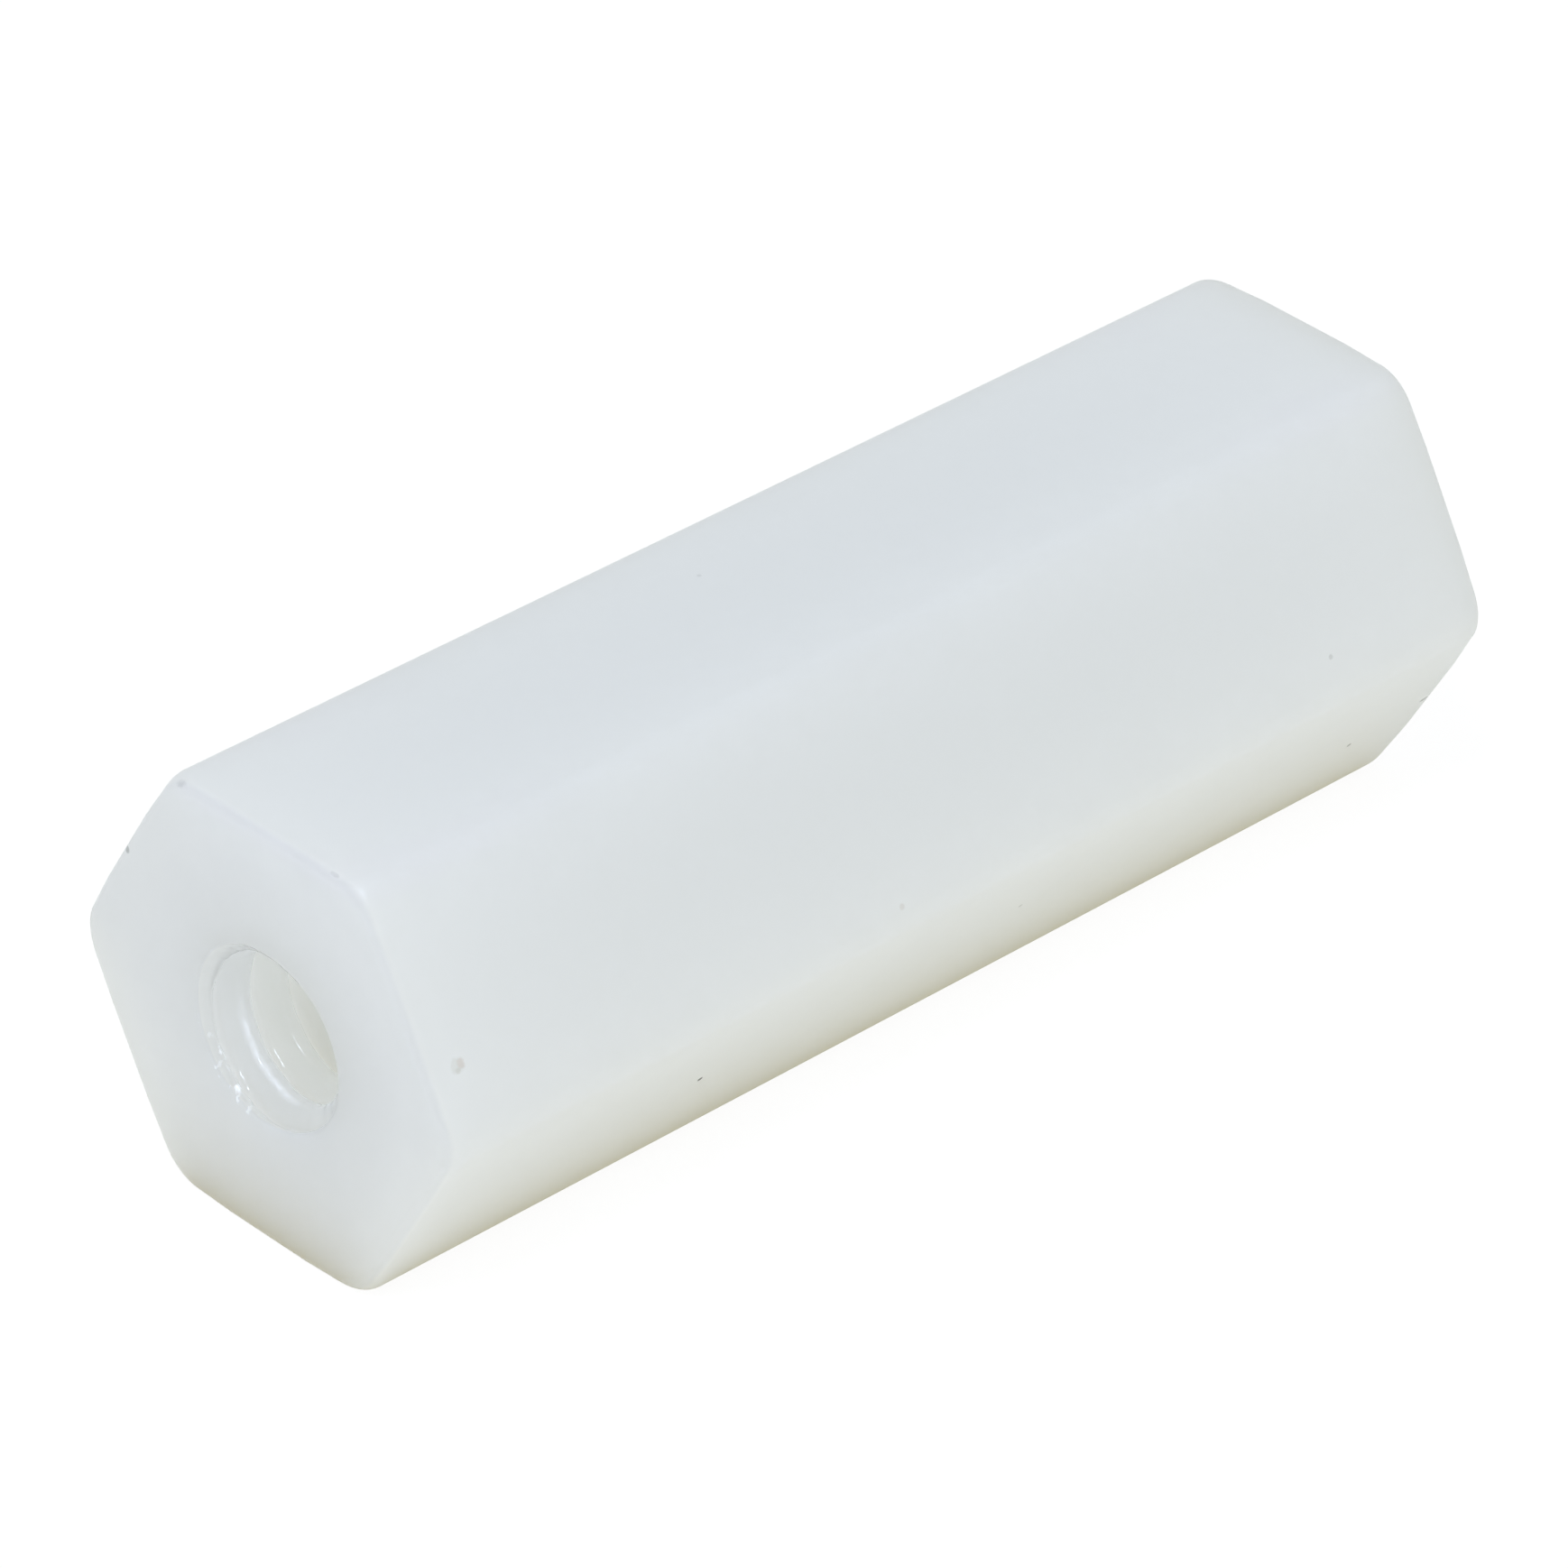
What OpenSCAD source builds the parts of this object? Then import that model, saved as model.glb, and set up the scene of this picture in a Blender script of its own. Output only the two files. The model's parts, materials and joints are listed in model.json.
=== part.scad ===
// Hex standoff with a female thread at both ends, in one piece of natural nylon.
// It lies on one of its six flats, with its long axis along X. The origin is the
// middle of the flat it lies on, and +Z points up.

/* [Body] */
// Width across two opposite flats
across_flats = 6.35; // [5:0.05:8]
// Length from one end face to the other
body_length = 19.05; // [8:0.05:40]
// Radius of the six long edges
edge_radius = 0.4; // [0.1:0.05:0.8]

/* [Ends] */
// How far the end face stops short of each flat
end_break = 0.09; // [0.04:0.01:0.3]
// How far that broken edge runs back along the flat
end_break_depth = 0.09; // [0.04:0.01:0.3]
// How much the six corners of an end face are cut back
corner_cut = 0.17; // [0.06:0.01:0.4]
// How far the cut corner runs back along the long edge
corner_cut_depth = 0.24; // [0.1:0.01:0.6]

/* [Thread] */
// Inside diameter of the thread crests, which is the tapping size of 4-40 UNC
bore_diameter = 2.261; // [1.6:0.001:2.6]
// Diameter of the countersunk mouth where it meets the end face
mouth_diameter = 2.7; // [2.65:0.05:3.4]
// Depth of the countersunk mouth
mouth_depth = 0.24; // [0.15:0.01:0.6]

/* [Hidden] */
half_l = body_length / 2;
apothem = across_flats / 2;
// Angle at which the arc of a long edge runs into a flat
edge_meets_flat = 5;
// Distance from the axis to the centre of a long edge's arc
corner_centre = (apothem - edge_radius * cos(edge_meets_flat)) / cos(30);
// Furthest point of a rounded long edge from the axis
corner_reach = corner_centre + edge_radius;
nylon = [0.86, 0.88, 0.87];
// How far the cutting profiles run past the body
past = 1;
$fn = 96;

// What rounding takes off the corner of the section that points along +X
module section_corner() {
    chord = corner_centre + edge_radius * cos(30);
    difference() {
        polygon([[chord, -apothem], [apothem + past + edge_radius, -apothem],
                 [apothem + past + edge_radius, apothem], [chord, apothem]]);
        translate([corner_centre, 0]) circle(r = edge_radius);
    }
}

// Section of the bar: a hexagon with a flat facing +X, and its six corners rounded
module bar_section() {
    difference() {
        rotate(30) circle(r = apothem / cos(30), $fn = 6);
        for (i = [0:5]) rotate(30 + 60 * i) section_corner();
    }
}

// The bar, standing on its end with its middle at the origin
module bar() {
    linear_extrude(body_length, center = true) bar_section();
}

// Keeps what lies inside the broken end edges of two opposite flats
module end_breaks() {
    wide = apothem + end_break;
    narrow = apothem - 2 * end_break;
    shoulder = half_l - 2 * end_break_depth;
    tip = half_l + end_break_depth;
    rotate([90, 0, 0]) linear_extrude(across_flats * 2, center = true) polygon([
        [wide, -shoulder], [wide, shoulder], [narrow, tip],
        [-narrow, tip], [-wide, shoulder], [-wide, -shoulder],
        [-narrow, -tip], [narrow, -tip]
    ]);
}

// Keeps what lies inside the cone that cuts the corners of both end faces
module corner_cuts() {
    wide = corner_reach + corner_cut;
    narrow = corner_reach - 2 * corner_cut;
    shoulder = half_l - 2 * corner_cut_depth;
    tip = half_l + corner_cut_depth;
    rotate_extrude() polygon([
        [0, -tip], [narrow, -tip], [wide, -shoulder],
        [wide, shoulder], [narrow, tip], [0, tip]
    ]);
}

// Countersunk mouth of the thread at the +Z end
module mouth() {
    slope = (mouth_diameter - bore_diameter) / 2 / mouth_depth;
    translate([0, 0, half_l - mouth_depth])
        cylinder(h = mouth_depth + past, r1 = bore_diameter / 2, r2 = mouth_diameter / 2 + past * slope);
}

module standoff() {
    color(nylon) translate([0, 0, apothem]) rotate([0, 90, 0]) difference() {
        intersection() {
            bar();
            intersection_for (i = [0:2]) rotate(60 * i) end_breaks();
            corner_cuts();
        }
        cylinder(h = body_length + 2 * past, d = bore_diameter, center = true);
        mouth();
        mirror([0, 0, 1]) mouth();
    }
}

standoff();
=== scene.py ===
import json
import math

import bpy
from mathutils import Matrix, Vector

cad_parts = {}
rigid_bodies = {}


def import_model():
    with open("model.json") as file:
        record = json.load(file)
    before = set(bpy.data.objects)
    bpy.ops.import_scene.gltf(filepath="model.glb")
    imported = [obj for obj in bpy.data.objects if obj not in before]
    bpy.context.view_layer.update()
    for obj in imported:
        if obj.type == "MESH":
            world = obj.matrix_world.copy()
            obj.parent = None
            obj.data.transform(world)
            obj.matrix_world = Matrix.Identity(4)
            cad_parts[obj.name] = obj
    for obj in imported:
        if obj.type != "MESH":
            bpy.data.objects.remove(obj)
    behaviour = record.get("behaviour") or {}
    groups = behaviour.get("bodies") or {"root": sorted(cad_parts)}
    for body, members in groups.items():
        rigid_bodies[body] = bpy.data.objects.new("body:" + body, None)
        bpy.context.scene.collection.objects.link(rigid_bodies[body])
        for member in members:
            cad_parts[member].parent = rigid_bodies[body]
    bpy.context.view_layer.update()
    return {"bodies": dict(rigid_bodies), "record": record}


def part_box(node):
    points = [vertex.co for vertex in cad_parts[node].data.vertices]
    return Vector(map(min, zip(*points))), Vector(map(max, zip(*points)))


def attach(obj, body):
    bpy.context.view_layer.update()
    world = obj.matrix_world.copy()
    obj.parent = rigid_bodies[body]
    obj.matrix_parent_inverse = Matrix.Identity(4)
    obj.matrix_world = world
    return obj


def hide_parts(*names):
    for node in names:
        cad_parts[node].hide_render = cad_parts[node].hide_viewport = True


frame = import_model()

MM = 0.001
lo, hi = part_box("standoff")
LENGTH = (hi.x - lo.x) / MM
APOTHEM = (hi.z - lo.z) / 2 / MM
AXIS_Z = APOTHEM
BORE_R = next(m for m in frame["record"]["mounts"] if m["name"] == "thread_left")["dims"]["r_mm"]

# ---------------------------------------------------------------- light levels
SKY, SKY_COLOR = 0.54, (0.960, 1.0, 0.985)
KEY, KEY_COLOR = 0.24, (0.80, 0.90, 1.10)
TOP, TOP_COLOR = 0.11, (0.80, 0.90, 1.10)
FRONT, FRONT_COLOR = 0.03, (1.0, 0.98, 0.80)
TABLE_ALBEDO, TABLE_TINT = 0.90, (1.0, 1.0, 1.0)
TABLE_GLOW, TABLE_GLOW_COLOR = 0.141, (1.0, 0.88, 0.42)
SEEN_GLOW = 0.90

# ---------------------------------------------------------------- the nylon piece
# Columns round the bar: every flat has FLAT_SEGS of them and every long edge ARC_SEGS.
FLAT_SEGS, ARC_SEGS = 12, 8
COLS = 6 * (FLAT_SEGS + ARC_SEGS)
EDGE_R = 0.40          # long edges
FACE_EDGE_R = 1.00     # corners of the end face's outline
FACE_INSET = 0.12      # how far the end face stops short of a flat
ROLL_FLAT = 0.12       # depth of the rounded end edge at a flat
ROLL_CORNER = 0.32     # and at a corner

PITCH = 0.635          # 4-40 UNC, right hand
ROOT_R = 1.4225
MOUTH_R = 1.305
MOUTH_DEPTH = 0.20
MOUTH_LIP = 0.03       # rounding where the mouth meets the end face
LIP_WIDTH = 0.035
THREAD_PHASE = 0.173     # axial place of the crest at angle 0, in mm


def section(apothem, radius):
    """Points (y, z) of a rounded hexagon with a flat on top, column by column."""
    half = (apothem - radius) * math.tan(math.pi / 6)
    centre = (apothem - radius) / math.cos(math.pi / 6)
    out = []
    for k in range(6):
        a = math.radians(90 + 60 * k)
        n, t = (math.cos(a), math.sin(a)), (-math.sin(a), math.cos(a))
        for i in range(FLAT_SEGS):
            s = half * math.sin(math.pi / 2 * (-1 + 2 * i / FLAT_SEGS))
            out.append((apothem * n[0] + s * t[0], apothem * n[1] + s * t[1]))
        c = a + math.pi / 6
        for i in range(ARC_SEGS):
            b = a + math.pi / 3 * i / ARC_SEGS
            out.append((centre * math.cos(c) + radius * math.cos(b),
                        centre * math.sin(c) + radius * math.sin(b)))
    return out


def corner_weight():
    """1 at the middle of a long edge, 0 along most of a flat, for each column."""
    pts, out = section(APOTHEM, EDGE_R), []
    for y, z in pts:
        ang = (math.degrees(math.atan2(z, y)) + 360) % 60
        off = min(ang, 60 - ang) / 16
        w = max(0.0, 1 - off)
        out.append(w * w * (3 - 2 * w))
    return out


# Half of the thread's profile, from the middle of a crest to the middle of a root:
# axial distance and radius, with the crest's and the root's corners slightly rounded.
HALF_PROFILE = [(0.000, 0.000), (0.040, 0.002), (0.070, 0.010), (0.096, 0.026), (0.120, 0.052), (0.155, 0.108),
                (0.190, 0.168), (0.225, 0.227), (0.258, 0.269), (0.288, 0.289), (0.3175, 0.292)]


def thread_samples():
    """(offset in one pitch, radius) for one turn of the thread."""
    scale = (ROOT_R - BORE_R) / 0.292
    up = [(u, BORE_R + d * scale) for u, d in HALF_PROFILE]
    down = [(PITCH - u, BORE_R + d * scale) for u, d in HALF_PROFILE[-2:0:-1]]
    return up + down


def mouth_radius(depth):
    return MOUTH_R - (MOUTH_R - BORE_R) * depth / MOUTH_DEPTH


def ragged(x, angle):
    """Small unevenness of the cut thread and its rim, from -1 to 1."""
    return (math.sin(5 * angle + 3.1 * x + 0.6) * 0.30 + math.sin(11 * angle - 5.3 * x + 2.0) * 0.28
            + math.sin(23 * angle + 7.7 * x + 4.1) * 0.24 + math.sin(37 * angle - 11.9 * x + 1.3) * 0.18)


def torn(angle):
    """How ragged the rim is: most where the tap broke out, low on the +Y side."""
    a = math.degrees(angle) % 360
    return math.exp(-((a - 303) / 28) ** 2)


def thread_radius(x, j):
    """Radius of the thread at axial place x in column j."""
    u = (x - THREAD_PHASE - PITCH * j / COLS) % PITCH
    u = min(u, PITCH - u)
    scale = (ROOT_R - BORE_R) / 0.292
    for (u0, d0), (u1, d1) in zip(HALF_PROFILE, HALF_PROFILE[1:]):
        if u <= u1:
            return BORE_R + scale * (d0 + (d1 - d0) * (u - u0) / (u1 - u0))
    return ROOT_R


def lip_radius(side, j):
    """Radius of the mouth's rim: the groove widens it where it runs out through the end face."""
    x = side * (LENGTH / 2 - MOUTH_LIP)
    groove = sum(thread_radius(x + d, j) for d in (-0.03, 0.0, 0.03)) / 3
    soft = 0.02
    return MOUTH_R + 0.5 * (groove - MOUTH_R + math.sqrt((groove - MOUTH_R) ** 2 + soft ** 2))


def build_mesh():
    verts, faces = [], []
    half = LENGTH / 2
    full, face = section(APOTHEM, EDGE_R), section(APOTHEM - FACE_INSET, FACE_EDGE_R)
    weight = corner_weight()
    theta = [math.radians(90 + 360 * (j - FLAT_SEGS / 2) / COLS) for j in range(COLS)]

    def add(x, y, z):
        verts.append((x * MM, y * MM, (z + AXIS_Z) * MM))
        return len(verts) - 1

    def ring(fn):
        return [add(*fn(j)) for j in range(COLS)]

    def bridge(a, b):
        for j in range(COLS):
            k = (j + 1) % COLS
            faces.append((a[j], a[k], b[k], b[j]))

    rings = []
    # the end face at -X, from the mouth's lip outwards, and then along the bar to the other end
    def end_rings(side):
        made = []
        rim = [lip_radius(side, j) + 0.006 * ragged(9 * side, theta[j]) + 0.022 * torn(theta[j]) * ragged(4 * side, theta[j])
               for j in range(COLS)]
        for depth, out in ((MOUTH_LIP, 0.0), (MOUTH_LIP * 0.45, 0.006), (MOUTH_LIP * 0.12, 0.018), (0.0, LIP_WIDTH)):
            made.append(ring(lambda j: (side * (half - depth), (rim[j] + out) * math.cos(theta[j]), (rim[j] + out) * math.sin(theta[j]))))
        for t in (0.06, 0.25, 0.5, 0.75, 0.94, 0.985):
            made.append(ring(lambda j: (side * half, (1 - t) * (rim[j] + LIP_WIDTH) * math.cos(theta[j]) + t * face[j][0],
                                        (1 - t) * (rim[j] + LIP_WIDTH) * math.sin(theta[j]) + t * face[j][1])))
        steps = 8
        for i in range(steps + 1):
            p = math.pi / 2 * (1 - i / steps)
            def place(j, p=p):
                roll = ROLL_FLAT + (ROLL_CORNER - ROLL_FLAT) * weight[j]
                c = math.cos(p)
                return (side * (half - roll * (1 - math.sin(p))),
                        face[j][0] + (full[j][0] - face[j][0]) * c,
                        face[j][1] + (full[j][1] - face[j][1]) * c)
            made.append(ring(place))
        return made

    left, right = end_rings(-1), end_rings(1)
    spans = []
    for f in (-0.955, -0.85, -0.6, -0.35, -0.12, 0.12, 0.35, 0.6, 0.85, 0.955):
        spans.append(ring(lambda j: (f * half, full[j][0], full[j][1])))
    rings = left + spans + right[::-1]
    for a, b in zip(rings, rings[1:]):
        bridge(a, b)

    # the threaded bore: a grid that follows the helix, trimmed at the two mouths
    turn = thread_samples()
    per = len(turn)
    start, stop = -half + MOUTH_LIP, half - MOUTH_LIP
    turns = int(math.ceil(LENGTH / PITCH)) + 3
    total = turns * per
    base = math.floor((start - PITCH - THREAD_PHASE) / PITCH) * PITCH + THREAD_PHASE
    columns = []
    for j in range(COLS):
        lift = PITCH * j / COLS
        column = []
        for i in range(total):
            u, r = turn[i % per]
            x = base + (i // per) * PITCH + u + lift
            if x < start + 0.006:
                column.append(left[0][j])
            elif x > stop - 0.006:
                column.append(right[0][j])
            else:
                depth = min(half + x, half - x)
                cone = mouth_radius(depth)
                fuzz = 0.003 + (0.021 + 0.026 * torn(theta[j])) * math.exp(-depth / 0.9)
                rr = max(r, cone) + fuzz * ragged(x, theta[j])
                column.append(add(x, rr * math.cos(theta[j]), rr * math.sin(theta[j])))
        columns.append(column)
    for j in range(COLS):
        a = columns[j]
        if j + 1 < COLS:
            b = columns[j + 1]
        else:
            b = [columns[0][i + per] if i + per < total else right[0][0] for i in range(total)]
        for i in range(total - 1):
            loop = []
            for v in (a[i], a[i + 1], b[i + 1], b[i]):
                if v not in loop:
                    loop.append(v)
            if len(loop) > 2:
                faces.append(tuple(loop))
    mesh = bpy.data.meshes.new("standoff_nylon")
    mesh.from_pydata(verts, [], faces)
    mesh.validate(verbose=False)
    mesh.update()
    return mesh


import bmesh

mesh = build_mesh()
bm = bmesh.new()
bm.from_mesh(mesh)
bmesh.ops.recalc_face_normals(bm, faces=bm.faces[:])
if bm.calc_volume(signed=True) < 0:
    bmesh.ops.reverse_faces(bm, faces=bm.faces[:])
open_edges = sum(1 for e in bm.edges if not e.is_manifold)
if open_edges:
    raise RuntimeError(f"the nylon mesh has {open_edges} open edges")
bm.to_mesh(mesh)
bm.free()
mesh.polygons.foreach_set("use_smooth", [True] * len(mesh.polygons))
piece = bpy.data.objects.new("standoff_nylon", mesh)
bpy.context.scene.collection.objects.link(piece)
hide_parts("standoff")
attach(piece, next(iter(frame["bodies"])))

# ---------------------------------------------------------------- materials
class Tree:
    """A short way to write a material's nodes."""

    def __init__(self, name):
        self.mat = bpy.data.materials.new(name)
        self.mat.use_nodes = True
        self.nt = self.mat.node_tree
        self.nt.nodes.clear()
        self.out = self.nt.nodes.new("ShaderNodeOutputMaterial")

    def node(self, kind, **props):
        n = self.nt.nodes.new(kind)
        for k, v in props.items():
            setattr(n, k, v)
        return n

    def link(self, a, b):
        self.nt.links.new(a, b)

    def noise(self, vec, scale, detail=2.0, rough=0.5):
        n = self.node("ShaderNodeTexNoise")
        n.inputs["Scale"].default_value = scale
        n.inputs["Detail"].default_value = detail
        n.inputs["Roughness"].default_value = rough
        self.link(vec, n.inputs["Vector"])
        return n.outputs["Fac"]

    def remap(self, value, a, b, c, d, kind="SMOOTHSTEP"):
        n = self.node("ShaderNodeMapRange", interpolation_type=kind)
        self.link(value, n.inputs["Value"])
        for name, v in (("From Min", a), ("From Max", b), ("To Min", c), ("To Max", d)):
            n.inputs[name].default_value = v
        return n.outputs["Result"]

    def math(self, op, a, b=None):
        n = self.node("ShaderNodeMath", operation=op)
        for i, v in enumerate((a, b)):
            if v is None:
                continue
            if isinstance(v, (int, float)):
                n.inputs[i].default_value = v
            else:
                self.link(v, n.inputs[i])
        return n.outputs[0]

    def mix(self, fac, a, b, blend="MIX"):
        n = self.node("ShaderNodeMix", data_type="RGBA", blend_type=blend)
        ins = [s for s in n.inputs if s.type == "RGBA"]
        if isinstance(fac, (int, float)):
            n.inputs[0].default_value = fac
        else:
            self.link(fac, n.inputs[0])
        for s, v in zip(ins, (a, b)):
            if isinstance(v, tuple):
                s.default_value = (*v, 1.0)
            else:
                self.link(v, s)
        return next(s for s in n.outputs if s.type == "RGBA")

    def stretch(self, vec, scale):
        n = self.node("ShaderNodeMapping")
        n.inputs["Scale"].default_value = scale
        self.link(vec, n.inputs["Vector"])
        return n.outputs["Vector"]


NYLON_COLOR = (0.95, 0.95, 0.95)
END_PAINTED_SHADE = (0.860, 0.865, 0.895)   # painted shade: the cut end faces are made darker and a little bluer than the flats
EDGE_PAINTED_SHADE = 0.955      # painted shade: the long edges and the rims round the end faces are darkened against the brightening that light through the corners gives them
# painted light: the bore's base colour is lighter than the nylon's, for light that comes through its wall
BORE_PAINTED_LIGHT_COLOR = (0.97, 0.97, 0.97)
SSS_RADIUS = (1.0, 1.0, 1.0)
SSS_SCALE = 0.004      # how far light runs in the bar, in metres
BORE_SCALE = 0.006     # and in the thin ridges of the thread
MOUTH_GLOW, DEEP_GLOW = 0.034, 0.082   # painted light: a glow in the bore that stands for light coming through the wall
CREST_HIGHLIGHT_GLOW, RIM_GLINT_GLOW = 0.21, 0.28      # painted highlights: a glowing streak on the first crest and glinting specks round the rim
MOUTH_GLOW_COLOR, DEEP_GLOW_COLOR = (0.86, 0.97, 1.22), (0.96, 1.02, 0.95)

# Dirt and handling marks: middle and half-size in mm, colour, strength
MARKS = [
    ((-9.440, -1.300, 6.310), (0.035, 0.085, 0.06), (0.20, 0.21, 0.21), 0.22),
    ((-9.000, -3.120, 4.120), (0.115, 0.10, 0.12), (0.28, 0.26, 0.14), 0.19),
    ((-8.945, -3.120, 4.130), (0.065, 0.07, 0.08), (0.50, 0.25, 0.17), 0.18),
    ((-9.010, -3.150, 4.060), (0.05, 0.05, 0.05), (0.26, 0.20, 0.10), 0.14),
    ((-4.390, -2.735, 1.562), (0.044, 0.044, 0.044), (0.05, 0.05, 0.05), 1.00),
    ((8.015, -2.575, 1.285), (0.045, 0.045, 0.045), (0.12, 0.12, 0.10), 0.58),
    ((6.660, -3.370, 3.687), (0.042, 0.042, 0.042), (0.12, 0.12, 0.10), 0.24),
    ((-1.563, -3.536, 3.400), (0.05, 0.05, 0.05), (0.42, 0.30, 0.20), 0.22),
    ((1.372, -2.839, 1.742), (0.045, 0.045, 0.045), (0.25, 0.25, 0.23), 0.36),
    ((-1.227, 0.760, 6.350), (0.035, 0.035, 0.035), (0.30, 0.30, 0.30), 0.18),
    ((-9.500, 1.640, 6.300), (0.08, 0.16, 0.09), (0.22, 0.23, 0.22), 0.34),
    ((-9.525, 2.671, 4.768), (0.07, 0.06, 0.06), (0.12, 0.13, 0.12), 0.62),
    ((9.338, -2.723, 1.541), (0.10, 0.05, 0.05), (0.16, 0.16, 0.14), 0.75),
]


def nylon():
    t = Tree("nylon")
    p = t.node("ShaderNodeBsdfPrincipled")
    t.link(p.outputs[0], t.out.inputs["Surface"])
    obj = t.node("ShaderNodeTexCoord").outputs["Object"]
    xyz = t.node("ShaderNodeSeparateXYZ")
    t.link(obj, xyz.inputs[0])
    x, y, z = xyz.outputs
    dz = t.math("SUBTRACT", z, AXIS_Z * MM)
    radius = t.math("SQRT", t.math("ADD", t.math("MULTIPLY", y, y), t.math("MULTIPLY", dz, dz)))
    along = t.math("ABSOLUTE", x)
    half = LENGTH / 2 * MM
    in_bore = t.math("MULTIPLY", t.remap(radius, 0.00152, 0.00144, 0.0, 1.0), t.remap(along, half - 0.000004, half - 0.00003, 0.0, 1.0))
    inside = t.remap(along, half - 0.00005, half - 0.0005, 0.0, 1.0)
    deep = t.remap(along, half - 0.0005, half - 0.0011, 0.0, 1.0)
    at_end = t.remap(along, half - 0.00012, half - 0.00003, 0.0, 1.0)

    cloud = t.noise(obj, 420, 4, 0.6)
    grain = t.noise(obj, 9000, 2, 0.6)
    base = t.mix(t.remap(cloud, 0.3, 0.7, 0.0, 1.0), tuple(c * 0.980 for c in NYLON_COLOR), tuple(min(c * 1.018, 1) for c in NYLON_COLOR))
    # painted shade on the end faces
    base = t.mix(at_end, base, t.mix(1.0, base, END_PAINTED_SHADE, "MULTIPLY"))
    # painted shade: the long edges, and at half strength the rims round the end faces, are darkened
    edge_shade_mask = t.remap(radius, 0.00322, 0.00358, 0.0, 1.0)
    rim_shade_mask = t.math("MULTIPLY", t.remap(along, half - 0.00045, half - 0.00015, 0.0, 1.0), t.remap(radius, 0.0027, 0.0031, 0.0, 1.0))
    edge_shade_mask = t.math("MAXIMUM", edge_shade_mask, t.math("MULTIPLY", rim_shade_mask, 0.5))
    base = t.mix(edge_shade_mask, base, t.mix(1.0, base, (EDGE_PAINTED_SHADE, EDGE_PAINTED_SHADE, EDGE_PAINTED_SHADE), "MULTIPLY"))
    lilac = t.math("MULTIPLY", t.remap(along, 0.0050, 0.0085, 0.0, 1.0), t.remap(z, 0.0060, 0.0063, 0.0, 1.0))
    base = t.mix(lilac, base, t.mix(1.0, base, (0.998, 0.985, 1.008), "MULTIPLY"))
    # painted light: the bore is lightened
    base = t.mix(in_bore, base, BORE_PAINTED_LIGHT_COLOR)
    ragged = t.math("MULTIPLY", t.math("SUBTRACT", grain, 0.5), 0.9)
    for centre, half_size, colour, strength in MARKS:
        off = t.node("ShaderNodeVectorMath", operation="SUBTRACT")
        t.link(obj, off.inputs[0])
        off.inputs[1].default_value = tuple(c * MM for c in centre)
        scaled = t.node("ShaderNodeVectorMath", operation="DIVIDE")
        t.link(off.outputs[0], scaled.inputs[0])
        scaled.inputs[1].default_value = tuple(h * MM for h in half_size)
        size = t.node("ShaderNodeVectorMath", operation="LENGTH")
        t.link(scaled.outputs[0], size.inputs[0])
        edge = t.math("ADD", size.outputs["Value"], ragged)
        base = t.mix(t.remap(edge, 1.15, 0.55, 0.0, strength), base, colour)
    t.link(base, p.inputs["Base Color"])
    p.inputs["Subsurface Weight"].default_value = 1.0
    p.inputs["Subsurface Radius"].default_value = SSS_RADIUS
    t.link(t.remap(in_bore, 0.0, 1.0, SSS_SCALE, BORE_SCALE, "LINEAR"), p.inputs["Subsurface Scale"])
    # painted light: the bore glows, bluish near the mouth and olive deeper in
    t.link(t.mix(deep, MOUTH_GLOW_COLOR, DEEP_GLOW_COLOR), p.inputs["Emission Color"])
    glow = t.remap(deep, 0.0, 1.0, MOUTH_GLOW, DEEP_GLOW, "LINEAR")
    glow = t.math("MULTIPLY", t.math("MULTIPLY", in_bore, inside), glow)
    # painted highlights: a glowing streak along the mouth's side of the first crest, and glinting specks round the rim,
    # low on the +Y side
    angle = t.math("ARCTAN2", dz, y)
    low = t.math("MULTIPLY", t.remap(angle, -1.52, -1.18, 0.0, 1.0), t.remap(angle, -0.12, -0.70, 0.0, 1.0))
    run = t.math("MULTIPLY", t.remap(angle, -1.85, -1.40, 0.0, 1.0), t.remap(angle, -0.08, -0.65, 0.0, 1.0))
    crest = (math.ceil((-LENGTH / 2 - THREAD_PHASE) / PITCH) + 1) * PITCH + THREAD_PHASE + PITCH * (FLAT_SEGS / 2 / COLS - 0.25)
    helix = t.math("SUBTRACT", x, t.math("MULTIPLY", angle, PITCH / (2 * math.pi) * MM))
    off_crest = t.math("ABSOLUTE", t.math("SUBTRACT", helix, (crest - 0.075) * MM))
    glint_noise = t.noise(obj, 7000, 3, 0.65)
    crest_highlight = t.math("MULTIPLY", t.remap(t.math("ADD", off_crest, t.math("MULTIPLY", t.math("SUBTRACT", glint_noise, 0.5), 0.00010)), 0.00006, 0.00001, 0.0, 1.0), run)
    crest_highlight = t.math("MULTIPLY", crest_highlight, t.math("MULTIPLY", in_bore, t.remap(glint_noise, 0.38, 0.60, 0.35, 1.0)))
    rim = t.math("MULTIPLY", t.remap(radius, 0.00142, 0.00137, 0.0, 1.0), t.remap(along, half - 0.00024, half - 0.00012, 0.0, 1.0))
    rim_glint = t.math("MULTIPLY", t.math("MULTIPLY", rim, low), t.remap(glint_noise, 0.56, 0.66, 0.0, 1.0))
    painted_glints = t.math("ADD", t.math("MULTIPLY", crest_highlight, CREST_HIGHLIGHT_GLOW), t.math("MULTIPLY", rim_glint, RIM_GLINT_GLOW))
    t.link(t.math("ADD", glow, painted_glints), p.inputs["Emission Strength"])
    p.inputs["IOR"].default_value = 1.53
    rough = t.remap(grain, 0.2, 0.8, 0.31, 0.37, "LINEAR")
    t.link(t.math("SUBTRACT", rough, t.math("MULTIPLY", in_bore, 0.19)), p.inputs["Roughness"])
    bump = t.node("ShaderNodeBump")
    bump.inputs["Strength"].default_value = 0.12
    bump.inputs["Distance"].default_value = 0.000003
    t.link(grain, bump.inputs["Height"])
    t.link(bump.outputs["Normal"], p.inputs["Normal"])
    return t.mat


piece.data.materials.append(nylon())

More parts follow.
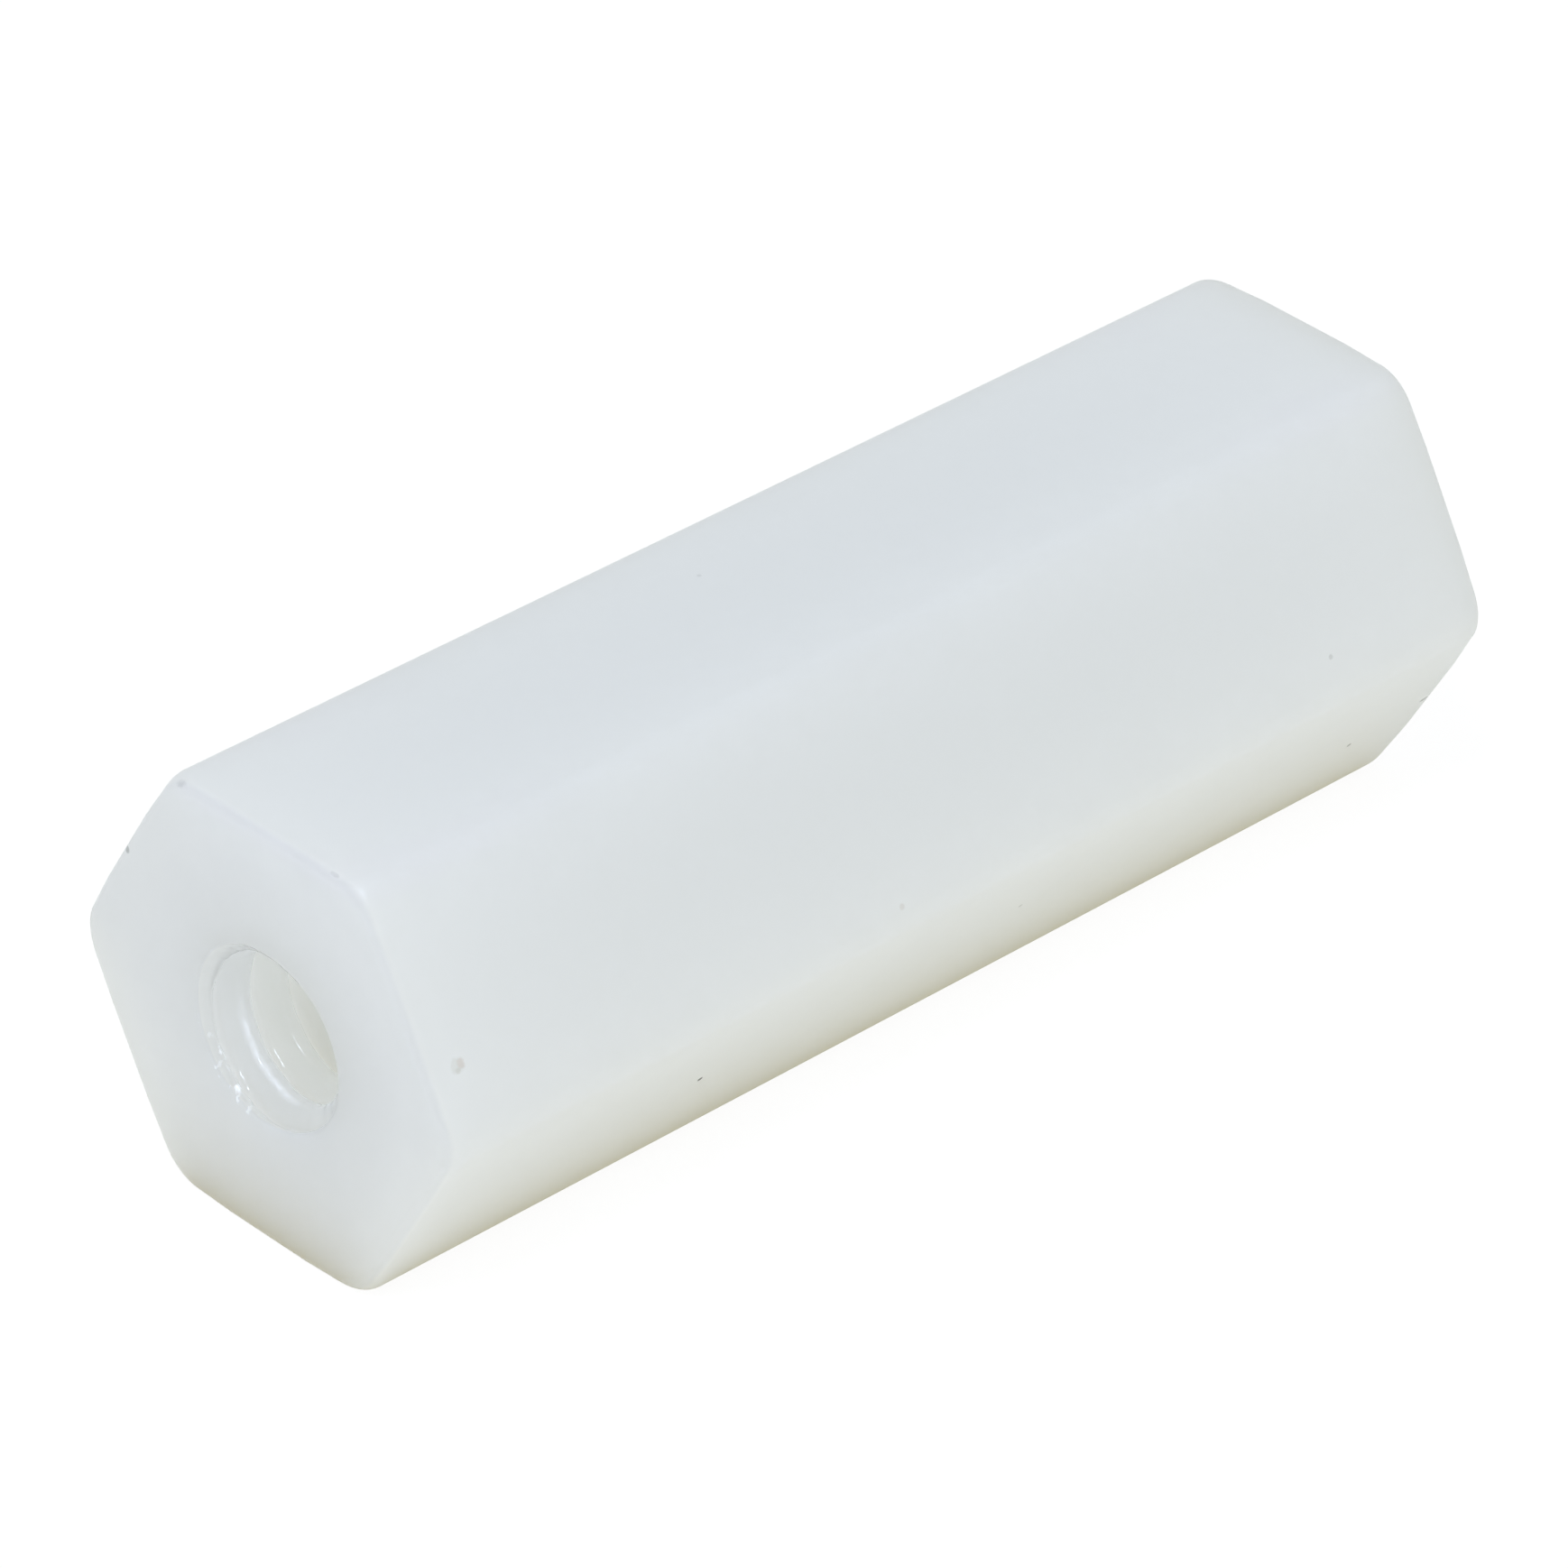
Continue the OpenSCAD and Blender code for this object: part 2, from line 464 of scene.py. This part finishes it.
# ---------------------------------------------------------------- floor
def floor_mesh():
    rings, segs = (0.0, 0.03, 0.08, 0.2, 0.5, 1.2, 3.0), 64
    verts, faces = [(0.0, 0.0, 0.0)], []
    for r in rings[1:]:
        for i in range(segs):
            a = 2 * math.pi * i / segs
            verts.append((r * math.cos(a), r * math.sin(a), 0.0))
    for i in range(segs):
        faces.append((0, 1 + i, 1 + (i + 1) % segs))
    for k in range(len(rings) - 2):
        a, b = 1 + k * segs, 1 + (k + 1) * segs
        for i in range(segs):
            j = (i + 1) % segs
            faces.append((a + i, b + i, b + j, a + j))
    m = bpy.data.meshes.new("floor")
    m.from_pydata(verts, [], faces)
    m.update()
    return m


def floor_material(name, low, high, glow, glow_strength):
    t = Tree(name)
    p = t.node("ShaderNodeBsdfPrincipled")
    t.link(p.outputs[0], t.out.inputs["Surface"])
    obj = t.node("ShaderNodeTexCoord").outputs["Object"]
    t.link(t.mix(t.noise(obj, 60, 3), low, high), p.inputs["Base Color"])
    p.inputs["Roughness"].default_value = 0.9
    p.inputs["Specular IOR Level"].default_value = 0.1
    p.inputs["Emission Color"].default_value = (*glow, 1.0)
    p.inputs["Emission Strength"].default_value = glow_strength
    return t.mat


# The sweep that the camera sees is far over-exposed, as on a light table, so what the
# camera sees of it and the light it throws on the nylon are two sheets of their own.
floor = bpy.data.objects.new("floor", floor_mesh())
floor.data.materials.append(floor_material("floor", (0.15, 0.15, 0.15), (0.16, 0.16, 0.16), (1.0, 1.0, 1.0), SEEN_GLOW))
floor.visible_diffuse = floor.visible_glossy = floor.visible_transmission = floor.visible_shadow = False
table = bpy.data.objects.new("table", floor_mesh())
table.data.materials.append(floor_material("table", tuple(TABLE_ALBEDO * c * 0.99 for c in TABLE_TINT), tuple(TABLE_ALBEDO * c * 1.01 for c in TABLE_TINT), TABLE_GLOW_COLOR, TABLE_GLOW))
table.location.z = -0.00001
table.visible_camera = False
for sheet in (floor, table):
    bpy.context.scene.collection.objects.link(sheet)

# ---------------------------------------------------------------- light
world = bpy.data.worlds.new("studio")
bpy.context.scene.world = world
world.use_nodes = True
bg = world.node_tree.nodes["Background"]
bg.inputs["Color"].default_value = (*SKY_COLOR, 1.0)
bg.inputs["Strength"].default_value = SKY


def area(name, direction, distance, size, light, color=(1, 1, 1), gloss=1.0, length=None, along=(1, 0, 0)):
    """A lamp aimed at the object; light is the radiance of a white card held face on to it."""
    d = Vector(direction).normalized()
    data = bpy.data.lights.new(name, "AREA")
    data.shape = "ELLIPSE"
    data.size, data.size_y = size, length or size
    data.energy = light * math.pi * math.pi * distance * distance
    data.color = color
    data.specular_factor = gloss
    o = bpy.data.objects.new(name, data)
    o.location = Vector((0, 0, AXIS_Z * MM)) + d * distance
    o.rotation_mode = "QUATERNION"
    y = Vector(along) - d * d.dot(Vector(along))
    y.normalize()
    o.rotation_quaternion = Matrix((y.cross(d), y, d)).transposed().to_quaternion()
    bpy.context.scene.collection.objects.link(o)
    return o


area("key", (-0.44, -0.21, 0.88), 0.5, 0.115, KEY, KEY_COLOR)
area("top", (0.0, 0.1, 1.0), 0.5, 0.50, TOP, TOP_COLOR, 0.0)
area("front", (-0.1, -0.95, 0.30), 0.5, 0.45, FRONT, FRONT_COLOR, 0.0)

# ---------------------------------------------------------------- camera
AZ, EL, ROLL = math.radians(-44.41), math.radians(33.19), math.radians(1.40)
AF = 2 * APOTHEM * MM
DIST = 21.52 * AF
PX_PER_AF = 526.73
back = Vector((math.sin(AZ) * math.cos(EL), -math.cos(AZ) * math.cos(EL), math.sin(EL)))
right0 = (-back).cross(Vector((0, 0, 1))).normalized()
up0 = right0.cross(-back)
right = math.cos(ROLL) * right0 + math.sin(ROLL) * up0
up = -math.sin(ROLL) * right0 + math.cos(ROLL) * up0
centre = Vector((0, 0, AXIS_Z * MM))
place = centre + back * DIST
# The object's centre sits a little right of and above the middle of the picture.
aim = centre - right * (19.41 / PX_PER_AF * AF) - up * (19.04 / PX_PER_AF * AF)
fwd = (aim - place).normalized()
r = fwd.cross(up).normalized()
u = r.cross(fwd)
cam_data = bpy.data.cameras.new("camera")
cam_data.sensor_width = 36.0
cam_data.lens = PX_PER_AF * (DIST / AF) * 36.0 / 1738
cam_data.clip_start, cam_data.clip_end = 0.005, 20
cam = bpy.data.objects.new("camera", cam_data)
cam.matrix_world = Matrix(((r.x, u.x, -fwd.x, place.x), (r.y, u.y, -fwd.y, place.y),
                           (r.z, u.z, -fwd.z, place.z), (0, 0, 0, 1)))
bpy.context.scene.collection.objects.link(cam)
bpy.context.scene.camera = cam

scene = bpy.context.scene
scene.view_settings.view_transform = "Standard"
scene.view_settings.look = "None"
scene.view_settings.exposure = 0.0
scene.view_settings.gamma = 1.0
